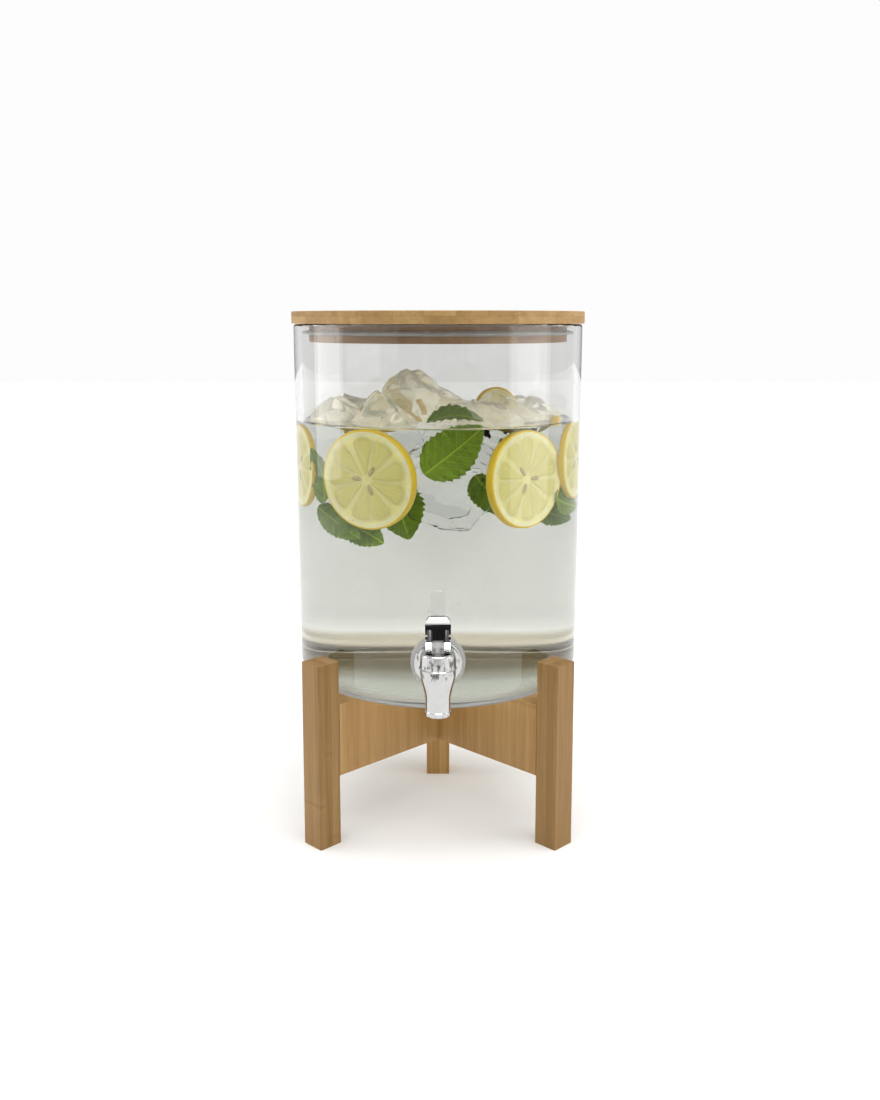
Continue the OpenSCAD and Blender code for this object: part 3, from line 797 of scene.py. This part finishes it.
def lemon_slice(name, place, face, radius, looks, tilt=0.0, spin=0.0, thick=6.5 * MM, seeds=3):
    """A cut slice: rind, pith, membranes and raised juicy segments. face turns it about Z, away from the
    front, tilt leans it back or forward, and spin turns it in its own plane."""
    rind, pith = 1.5 * MM, 3.2 * MM
    half = thick / 2
    edge = 1.1 * MM
    core = radius - rind - pith
    profile = [(0, -half), (core, -half), (core + 0.3 * MM, -half), (radius - rind, -half)]
    for turn in (0.0, 0.5, 1.0, 1.57):
        profile.append((radius - edge + edge * math.sin(turn), -half + edge - edge * math.cos(turn)))
    profile += [(r, -h) for r, h in reversed(profile)]
    bm = turned(profile, 96)
    for item in bm.faces:
        reach = item.calc_center_median().xy.length
        item.material_index = 0 if reach > radius - rind else 1 if reach > core else 2
    count = 9 + (len(name) % 2)
    for index in range(count):
        middle = math.tau * (index + 0.06 * math.sin(index * 2.4)) / count
        segment(bm, middle, math.pi / count, 2.6 * MM, core - 0.2 * MM, half)
    for index in range(seeds):
        angle = spin + 0.4 + index * 2.05
        grain = bmesh.ops.create_uvsphere(bm, u_segments=12, v_segments=8, radius=1)["verts"]
        place_grain = Matrix.Translation((7.5 * MM * math.cos(angle), 7.5 * MM * math.sin(angle), half))
        place_grain = place_grain @ Matrix.Rotation(angle, 4, "Z")
        place_grain = place_grain @ Matrix.Diagonal((4.2 * MM, 1.7 * MM, 0.9 * MM, 1))
        bmesh.ops.transform(bm, verts=grain, matrix=place_grain)
        for item in {f for v in grain for f in v.link_faces}:
            item.material_index, item.smooth = 4, True
    stand = Matrix.Translation(place) @ Matrix.Rotation(face, 4, "Z") @ Matrix.Rotation(tilt, 4, "X")
    stand = stand @ Matrix.Rotation(math.pi / 2, 4, "X") @ Matrix.Rotation(spin, 4, "Z")
    drink_piece(name, from_bmesh(bm, "drink_lemon"), looks, stand)


def close_sheets(bm, sheets, along, across):
    """Faces for two matching sheets of points and for the rim between them."""
    made = []
    for sheet in sheets:
        for i in range(along):
            for j in range(across):
                corners = (sheet[i][j], sheet[i + 1][j], sheet[i + 1][j + 1], sheet[i][j + 1])
                made.append(bm.faces.new(corners))
    border = [(i, 0) for i in range(along)] + [(along, j) for j in range(across)]
    border += [(i, across) for i in range(along, 0, -1)] + [(0, j) for j in range(across, 0, -1)]
    for (a, b), (c, d) in zip(border, border[1:] + border[:1]):
        corners = (sheets[0][a][b], sheets[0][c][d], sheets[1][c][d], sheets[1][a][b])
        made.append(bm.faces.new(corners))
    return made


def segment(bm, middle, spread, inner, outer, half):
    """One juicy segment, standing a little proud on both faces, with rounded ends."""
    across, along = 8, 12
    sheets = []
    for side in (1, -1):
        sheet = []
        for i in range(along + 1):
            u = i / along
            row = []
            for j in range(across + 1):
                v = 2 * j / across - 1
                reach = inner + (outer - inner) * u
                room = max(spread - 0.45 * MM / max(reach, 1 * MM), 0.1)
                pinch = (1 - (2 * u - 1) ** 8) ** 0.5
                angle = middle + room * v * (0.35 + 0.65 * pinch)
                rise = 0.5 * MM * (1 - (2 * u - 1) ** 6) * (1 - v ** 4)
                row.append(bm.verts.new((reach * math.cos(angle), reach * math.sin(angle),
                                         side * (half - 0.25 * MM + rise))))
            sheet.append(row)
        sheets.append(sheet)
    for item in close_sheets(bm, sheets, along, across):
        item.material_index, item.smooth = 3, True


def make_lemons():
    looks = fruit_looks()
    lemon_slice("lemon_front_left", (-0.046, -0.0765, 0.2680), -0.50, 35.5 * MM, looks, tilt=0.05, spin=0.3)
    lemon_slice("lemon_front_right", (0.0565, -0.063, 0.2665), 0.86, 35 * MM, looks, tilt=-0.04, spin=0.9)
    lemon_slice("lemon_wall_left", (-0.0890, -0.0135, 0.2700), -1.36, 31 * MM, looks, spin=0.2)
    lemon_slice("lemon_wall_right", (0.0890, -0.0135, 0.2760), 1.36, 31 * MM, looks, spin=0.7)
    lemon_slice("lemon_back_right", (0.046, 0.026, 0.3080), 0.25, 18.0 * MM, looks, tilt=-0.1, spin=0.5)
    lemon_slice("lemon_back_left", (-0.040, 0.010, 0.3060), -0.15, 23 * MM, looks, tilt=-1.25, spin=0.1)


def leaf_material(name, colour, vein):
    material, tree, body, _ = new_material(name)
    coords = object_coords(tree)
    split = add(tree, "ShaderNodeSeparateXYZ")
    link(tree, coords, split.inputs[0])
    side = maths(tree, "ABSOLUTE", split.outputs["X"])
    midrib = value_ramp(tree, side, 0.0009, 0.0002)
    climb = minus(tree, split.outputs["Y"], times(tree, side, 0.9))
    wander = times(tree, texture_noise(tree, coords, 90, 2, 0.5), 0.0022)
    run = maths(tree, "FRACT", maths(tree, "DIVIDE", plus(tree, climb, wander), 0.0062))
    rib = value_ramp(tree, maths(tree, "ABSOLUTE", minus(tree, run, 0.5)), 0.085, 0.0)
    mesh_like = texture_noise(tree, coords, 520, 3, 0.6)
    blade = mix_colour(tree, value_ramp(tree, mesh_like, 0.35, 0.7), colour, tuple(c * 0.62 for c in colour))
    lines = maths(tree, "MAXIMUM", midrib, times(tree, rib, 0.45))
    link(tree, mix_colour(tree, times(tree, lines, 0.8), blade, vein), body.inputs["Base Color"])
    body.inputs["Roughness"].default_value = 0.45
    body.inputs["Specular IOR Level"].default_value = 0.25
    body.inputs["Subsurface Weight"].default_value = 0.15
    body.inputs["Subsurface Radius"].default_value = (0.002, 0.003, 0.001)
    body.inputs["Subsurface Scale"].default_value = 1.0
    height = minus(tree, mesh_like, times(tree, lines, 1.4))
    link(tree, bump_from(tree, height, 0.6, 0.0006), body.inputs["Normal"])
    return material


def leaf(name, root, tip, facing, width, look, curl, cup=0.2, teeth=11):
    """A mint leaf from its root to its tip: a serrated, puckered blade that curls along and across."""
    along, across = 66, 14
    root, tip = Vector(root), Vector(tip)
    length = (tip - root).length
    sheets = ([], [])
    bm = bmesh.new()
    for i in range(along + 1):
        t = i / along
        swell = math.sin(math.pi * t ** 0.82) ** 0.75 if 0 < t < 1 else 0.0
        tooth = (t * teeth) % 1
        reach = width / 2 * (swell * (0.91 + 0.14 * tooth) + 0.02)
        for side, sheet in zip((1, -1), sheets):
            row = []
            for j in range(across + 1):
                v = 2 * j / across - 1
                rise = cup * reach * v * v - curl * length * math.sin(math.pi * t)
                rise += 0.028 * width * math.cos(math.tau * (t * 7 - abs(v) * 0.9)) * abs(v) * swell
                rise -= 0.03 * width * math.exp(-(v / 0.12) ** 2)
                forward = length * t - 0.12 * reach * abs(v)
                row.append(bm.verts.new((reach * v, forward, rise + side * 0.22 * MM)))
            sheet.append(row)
    for item in close_sheets(bm, sheets, along, across):
        item.smooth = True
    lengthwise = (tip - root).normalized()
    crosswise = lengthwise.cross(Vector(facing)).normalized()
    normal = crosswise.cross(lengthwise)
    pose = Matrix((crosswise, lengthwise, normal)).transposed().to_4x4()
    pose.translation = root
    drink_piece(name, from_bmesh(bm, "drink_mint"), [look], pose)


def make_mint():
    fresh = leaf_material("mint_fresh", (0.155, 0.255, 0.001), (0.38, 0.52, 0.03))
    deep = leaf_material("mint_deep", (0.120, 0.205, 0.001), (0.28, 0.40, 0.03))
    sprigs = [  # name, root, tip, facing, width, look, curl
        ("front", (-0.009, -0.088, 0.2730), (0.030, -0.090, 0.3065), (0.1, -1, 0.25), 0.034, fresh, 0.15),
        ("left", (-0.078, -0.058, 0.2480), (-0.087, -0.046, 0.2870), (-0.8, -0.6, 0), 0.024, deep, 0.15),
        ("left_low", (-0.082, -0.050, 0.2440), (-0.052, -0.078, 0.2260),
         (-0.3, -0.9, 0.4), 0.022, deep, 0.1),
        ("left_mid", (-0.066, -0.066, 0.2400), (-0.036, -0.084, 0.2240),
         (-0.4, -0.8, 0.3), 0.024, fresh, 0.2),
        ("right", (0.079, -0.046, 0.2520), (0.095, -0.014, 0.2380), (0.7, -0.7, 0.3), 0.021, fresh, 0.15),
        ("right_back", (0.060, -0.040, 0.2470), (0.088, -0.020, 0.2300),
         (0.7, -0.6, 0.3), 0.022, deep, 0.15),
        ("behind_left", (-0.030, -0.055, 0.2620), (-0.018, -0.050, 0.2220),
         (-0.1, -1, 0.2), 0.034, fresh, 0.15),
        ("behind_mid", (0.022, -0.030, 0.2660), (0.040, -0.022, 0.2350), (0.2, -1, 0.1), 0.022, fresh, 0.15),
        ("afloat", (-0.008, -0.066, 0.3070), (0.032, -0.070, 0.3080), (0.1, -0.35, 1), 0.026, deep, -0.12),
        ("afloat_back", (-0.050, -0.020, 0.3060), (-0.020, -0.030, 0.3065),
         (0.1, -0.2, 1), 0.020, fresh, 0.15),
    ]
    for name, root, tip, facing, width, look, curl in sprigs:
        leaf("mint_" + name, root, tip, facing, width, look, curl)


def make_bubbles():
    """Small bubbles on the glass and in the water, as one closed mesh of separate balls."""
    chance = random.Random(7)
    bm = bmesh.new()
    for _ in range(70):
        angle = chance.uniform(-1.3, 1.3)
        reach = chance.uniform(0.80, 0.985) * inner_radius(0.25)
        height = chance.uniform(0.17, WATER_LEVEL - 4 * MM)
        place = (reach * math.sin(angle), -reach * math.cos(angle), height)
        bmesh.ops.create_icosphere(bm, subdivisions=2, radius=chance.uniform(0.25, 0.6) * MM,
                                   matrix=Matrix.Translation(place))
    for item in bm.faces:
        item.smooth = True
    air = clear("bubble", (1, 1, 1), 0.76, shadow=1.0)
    drink_piece("bubbles", from_bmesh(bm, "drink_bubbles"), [air])


make_camera()
make_stage()
make_world()
make_lights()
dress_cad()
make_spring()
make_water()
make_ice()
make_lemons()
make_mint()
make_bubbles()
